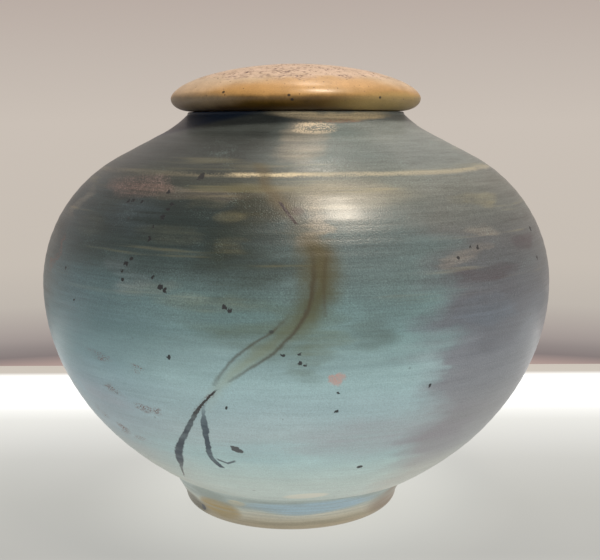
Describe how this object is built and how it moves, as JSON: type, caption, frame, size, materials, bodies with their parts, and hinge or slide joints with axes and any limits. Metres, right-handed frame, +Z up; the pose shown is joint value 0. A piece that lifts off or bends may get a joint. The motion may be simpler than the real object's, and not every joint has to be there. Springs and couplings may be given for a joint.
{
  "type": "lidded jar",
  "caption": "Squat round-bellied pottery jar on a small foot ring, closed by a loose domed lid that a locating flange keeps centred in the mouth.",
  "frame": {"origin": "on the surface the jar stands on, under the middle of its belly", "axes": "+Z up along the axis the jar was thrown on, +X to the right and +Y to the back as the decorated side is faced"},
  "size_m": [0.24, 0.24, 0.2113],
  "materials": {
    "jar_body": "burnished satin surface, grey-teal to pale blue with smoke-fumed olive, purple and brown marks and fine turning lines",
    "foot_ring": "burnished satin surface, grey-olive to tan-brown with smoky blue-grey patches",
    "lid": "burnished satin buff to ochre, with a paler rough top speckled dark brown",
    "lid_flange": "bare fired clay, matte"
  },
  "bodies": {
    "jar": {"jar_body": "jar_body", "foot_ring": "foot_ring"},
    "lid": {"lid": "lid", "lid_flange": "lid_flange"}
  },
  "joints": [
    {"name": "lid_lift", "type": "slide", "parent": "jar", "child": "lid", "axis": [0, 0, 1], "range_m": [0, 0.12]}
  ]
}
